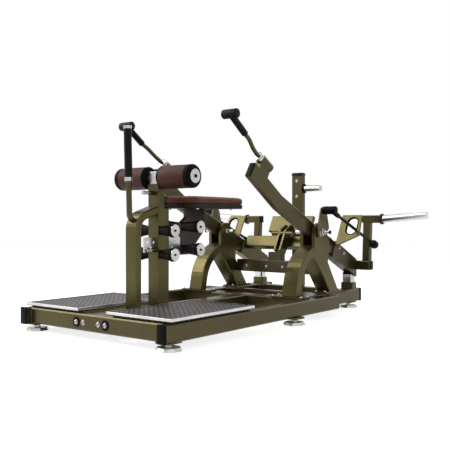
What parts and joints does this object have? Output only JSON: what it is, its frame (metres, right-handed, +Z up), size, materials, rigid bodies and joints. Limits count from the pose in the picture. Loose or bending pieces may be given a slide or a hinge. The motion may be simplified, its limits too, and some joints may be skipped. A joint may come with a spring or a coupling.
{
  "type": "triceps extension machine",
  "caption": "Plate-loaded strength training machine: forked stands carry linked swinging arms with cross-grip handles and loading horns; a seat, thigh rollers and shin rollers hold the user.",
  "frame": {"origin": "on the floor, under the middle of the machine's length and width", "axes": "+Z up, +Y back from the platform towards the weight horns, +X to the user's left"},
  "size_m": [1.6736, 2.0281, 1.114],
  "materials": {
    "olive_paint": "metallic olive powder coat, semi-gloss",
    "tan_olive_paint": "metallic tan-olive powder coat, semi-gloss",
    "black_plastic": "moulded black plastic, satin",
    "black_rubber": "matt black rubber",
    "bright_steel": "bright plated steel",
    "dark_steel": "dark painted steel",
    "ribbed_deck": "dark grey ribbed tread plate",
    "brown_leather": "brown upholstery over foam",
    "black_board": "black-covered board"
  },
  "bodies": {
    "base": {"base_frame": "olive_paint", "front_column": "tan_olive_paint", "main_post": "tan_olive_paint", "post_bush": "olive_paint", "seat_post": "tan_olive_paint", "grab_handle": "olive_paint", "grab_grip": "black_plastic", "seat_board": "black_board", "seat_cushion": "brown_leather", "lower_tie_beam": "dark_steel", "storage_post": "olive_paint", "storage_horn": "bright_steel", "front_shin_axle_upper": "bright_steel", "front_shin_axle_lower": "bright_steel", "rear_rail_cap_right": "black_plastic", "tread_right": "ribbed_deck", "stand_right": "tan_olive_paint", "stop_bumper_right": "black_rubber", "levelling_foot_front_right": "bright_steel", "levelling_foot_middle_right": "bright_steel", "levelling_foot_rear_right": "bright_steel", "rear_rail_cap_left": "black_plastic", "tread_left": "ribbed_deck", "stand_left": "tan_olive_paint", "stop_bumper_left": "black_rubber", "levelling_foot_front_left": "bright_steel", "levelling_foot_middle_left": "bright_steel", "levelling_foot_rear_left": "bright_steel"},
    "roller_post_assembly": {"roller_post": "bright_steel", "thigh_axle": "bright_steel"},
    "post_pin": {"post_pin": "bright_steel"},
    "shin_pin": {"shin_pin": "bright_steel"},
    "shin_carriage": {"shin_slide_bar": "bright_steel", "roller_bracket": "dark_steel"},
    "swing_frame": {"cross_beam": "tan_olive_paint", "centre_plate": "olive_paint", "arm_right": "olive_paint", "guide_plate_right": "olive_paint", "weight_carrier_right": "olive_paint", "weight_horn_right": "bright_steel", "pivot_shaft_right": "bright_steel", "arm_left": "olive_paint", "guide_plate_left": "olive_paint", "weight_carrier_left": "olive_paint", "weight_horn_left": "bright_steel", "pivot_shaft_left": "bright_steel"},
    "lever_right": {"lever_right": "black_plastic"},
    "handle_right": {"handle_right": "olive_paint"},
    "thigh_roller_right": {"thigh_roller_right": "brown_leather"},
    "shin_roller_front_upper_right": {"shin_roller_front_upper_right": "black_rubber"},
    "shin_roller_front_lower_right": {"shin_roller_front_lower_right": "black_rubber"},
    "shin_roller_rear_upper_right": {"shin_roller_rear_upper_right": "black_rubber"},
    "shin_roller_rear_lower_right": {"shin_roller_rear_lower_right": "black_rubber"},
    "lever_left": {"lever_left": "black_plastic"},
    "handle_left": {"handle_left": "olive_paint"},
    "thigh_roller_left": {"thigh_roller_left": "brown_leather"},
    "shin_roller_front_upper_left": {"shin_roller_front_upper_left": "black_rubber"},
    "shin_roller_front_lower_left": {"shin_roller_front_lower_left": "black_rubber"},
    "shin_roller_rear_upper_left": {"shin_roller_rear_upper_left": "black_rubber"},
    "shin_roller_rear_lower_left": {"shin_roller_rear_lower_left": "black_rubber"}
  },
  "joints": [
    {"name": "roller_height", "type": "slide", "parent": "base", "child": "roller_post_assembly", "axis": [0, 0, 1], "range_m": [0, 0.12]},
    {"name": "thigh_roller_spin_right", "type": "hinge", "parent": "roller_post_assembly", "child": "thigh_roller_right", "pos_m": [-0.153, -0.5496, 0.777], "axis": [1, 0, 0], "continuous": true},
    {"name": "thigh_roller_spin_left", "type": "hinge", "parent": "roller_post_assembly", "child": "thigh_roller_left", "pos_m": [0.153, -0.5496, 0.777], "axis": [1, 0, 0], "continuous": true},
    {"name": "post_pin_pull", "type": "slide", "parent": "base", "child": "post_pin", "axis": [0, -1, 0], "range_m": [0, 0.012], "stiffness_N_per_m": 500, "springref_m": -0.004},
    {"name": "shin_pin_pull", "type": "slide", "parent": "base", "child": "shin_pin", "axis": [0, -1, 0], "range_m": [0, 0.012], "stiffness_N_per_m": 500, "springref_m": -0.004},
    {"name": "shin_reach", "type": "slide", "parent": "base", "child": "shin_carriage", "axis": [0, 1, 0], "range_m": [-0.03, 0.04]},
    {"name": "front_upper_roller_spin_right", "type": "hinge", "parent": "base", "child": "shin_roller_front_upper_right", "pos_m": [-0.084, -0.5496, 0.506], "axis": [1, 0, 0], "continuous": true},
    {"name": "rear_upper_roller_spin_right", "type": "hinge", "parent": "shin_carriage", "child": "shin_roller_rear_upper_right", "pos_m": [-0.07, -0.3491, 0.525], "axis": [1, 0, 0], "continuous": true},
    {"name": "front_upper_roller_spin_left", "type": "hinge", "parent": "base", "child": "shin_roller_front_upper_left", "pos_m": [0.084, -0.5496, 0.506], "axis": [1, 0, 0], "continuous": true},
    {"name": "rear_upper_roller_spin_left", "type": "hinge", "parent": "shin_carriage", "child": "shin_roller_rear_upper_left", "pos_m": [0.07, -0.3491, 0.525], "axis": [1, 0, 0], "continuous": true},
    {"name": "front_lower_roller_spin_right", "type": "hinge", "parent": "base", "child": "shin_roller_front_lower_right", "pos_m": [-0.084, -0.5496, 0.384], "axis": [1, 0, 0], "continuous": true},
    {"name": "rear_lower_roller_spin_right", "type": "hinge", "parent": "shin_carriage", "child": "shin_roller_rear_lower_right", "pos_m": [-0.07, -0.3491, 0.404], "axis": [1, 0, 0], "continuous": true},
    {"name": "front_lower_roller_spin_left", "type": "hinge", "parent": "base", "child": "shin_roller_front_lower_left", "pos_m": [0.084, -0.5496, 0.384], "axis": [1, 0, 0], "continuous": true},
    {"name": "rear_lower_roller_spin_left", "type": "hinge", "parent": "shin_carriage", "child": "shin_roller_rear_lower_left", "pos_m": [0.07, -0.3491, 0.404], "axis": [1, 0, 0], "continuous": true},
    {"name": "arm_swing", "type": "hinge", "parent": "base", "child": "swing_frame", "pos_m": [0, 0.4209, 0.489], "axis": [1, 0, 0], "range_deg": [0, 35]},
    {"name": "lever_tilt_right", "type": "hinge", "parent": "swing_frame", "child": "lever_right", "pos_m": [-0.478, 0.4479, 0.618], "axis": [1, 0, 0], "range_deg": [-1.5, 8]},
    {"name": "handle_turn_right", "type": "hinge", "parent": "swing_frame", "child": "handle_right", "pos_m": [-0.35, -0.1241, 0.893], "axis": [0, 0.8536, -0.521], "range_deg": [-90, 90]},
    {"name": "lever_tilt_left", "type": "hinge", "parent": "swing_frame", "child": "lever_left", "pos_m": [0.478, 0.4479, 0.618], "axis": [1, 0, 0], "range_deg": [-1.5, 8]},
    {"name": "handle_turn_left", "type": "hinge", "parent": "swing_frame", "child": "handle_left", "pos_m": [0.35, -0.1241, 0.893], "axis": [0, 0.8536, -0.521], "range_deg": [-90, 90]}
  ]
}
